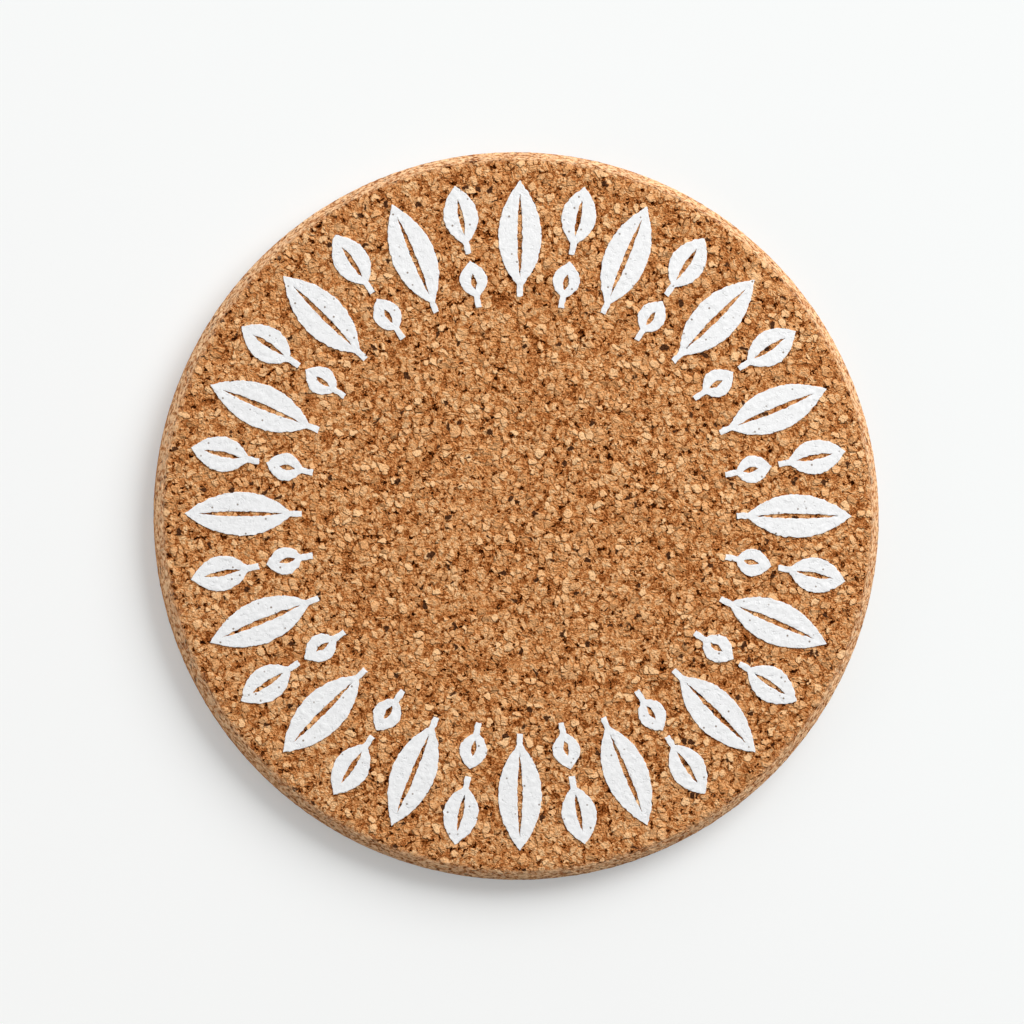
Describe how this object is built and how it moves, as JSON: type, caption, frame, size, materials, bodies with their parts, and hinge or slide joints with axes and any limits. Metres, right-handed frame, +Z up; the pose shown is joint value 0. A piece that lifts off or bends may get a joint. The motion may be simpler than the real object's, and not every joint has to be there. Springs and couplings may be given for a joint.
{
  "type": "cork coaster",
  "caption": "Round coaster of pressed cork with a bevelled top edge, flat underside, bare centre for a cup and a ring of leaves printed in white ink.",
  "frame": {"origin": "centre of the flat underside, which rests on the table", "axes": "+Z up along the disc's axis, out of the printed face; +X to the right as the print is seen from above"},
  "size_m": [0.1, 0.1, 0.0051],
  "materials": {
    "pressed_cork": "sanded pressed cork granules, matt",
    "white_screen_ink": "cured white screen ink, matt to satin"
  },
  "bodies": {
    "root": {"cork_disc": "pressed_cork", "ink_long_leaf_01": "white_screen_ink", "ink_long_leaf_02": "white_screen_ink", "ink_long_leaf_03": "white_screen_ink", "ink_long_leaf_04": "white_screen_ink", "ink_long_leaf_05": "white_screen_ink", "ink_long_leaf_06": "white_screen_ink", "ink_long_leaf_07": "white_screen_ink", "ink_long_leaf_08": "white_screen_ink", "ink_long_leaf_09": "white_screen_ink", "ink_long_leaf_10": "white_screen_ink", "ink_long_leaf_11": "white_screen_ink", "ink_long_leaf_12": "white_screen_ink", "ink_long_leaf_13": "white_screen_ink", "ink_long_leaf_14": "white_screen_ink", "ink_long_leaf_15": "white_screen_ink", "ink_long_leaf_16": "white_screen_ink", "ink_mid_leaf_01": "white_screen_ink", "ink_mid_leaf_02": "white_screen_ink", "ink_mid_leaf_03": "white_screen_ink", "ink_mid_leaf_04": "white_screen_ink", "ink_mid_leaf_05": "white_screen_ink", "ink_mid_leaf_06": "white_screen_ink", "ink_mid_leaf_07": "white_screen_ink", "ink_mid_leaf_08": "white_screen_ink", "ink_mid_leaf_09": "white_screen_ink", "ink_mid_leaf_10": "white_screen_ink", "ink_mid_leaf_11": "white_screen_ink", "ink_mid_leaf_12": "white_screen_ink", "ink_mid_leaf_13": "white_screen_ink", "ink_mid_leaf_14": "white_screen_ink", "ink_mid_leaf_15": "white_screen_ink", "ink_mid_leaf_16": "white_screen_ink", "ink_small_leaf_01": "white_screen_ink", "ink_small_leaf_02": "white_screen_ink", "ink_small_leaf_03": "white_screen_ink", "ink_small_leaf_04": "white_screen_ink", "ink_small_leaf_05": "white_screen_ink", "ink_small_leaf_06": "white_screen_ink", "ink_small_leaf_07": "white_screen_ink", "ink_small_leaf_08": "white_screen_ink", "ink_small_leaf_09": "white_screen_ink", "ink_small_leaf_10": "white_screen_ink", "ink_small_leaf_11": "white_screen_ink", "ink_small_leaf_12": "white_screen_ink", "ink_small_leaf_13": "white_screen_ink", "ink_small_leaf_14": "white_screen_ink", "ink_small_leaf_15": "white_screen_ink", "ink_small_leaf_16": "white_screen_ink"}
  },
  "joints": []
}
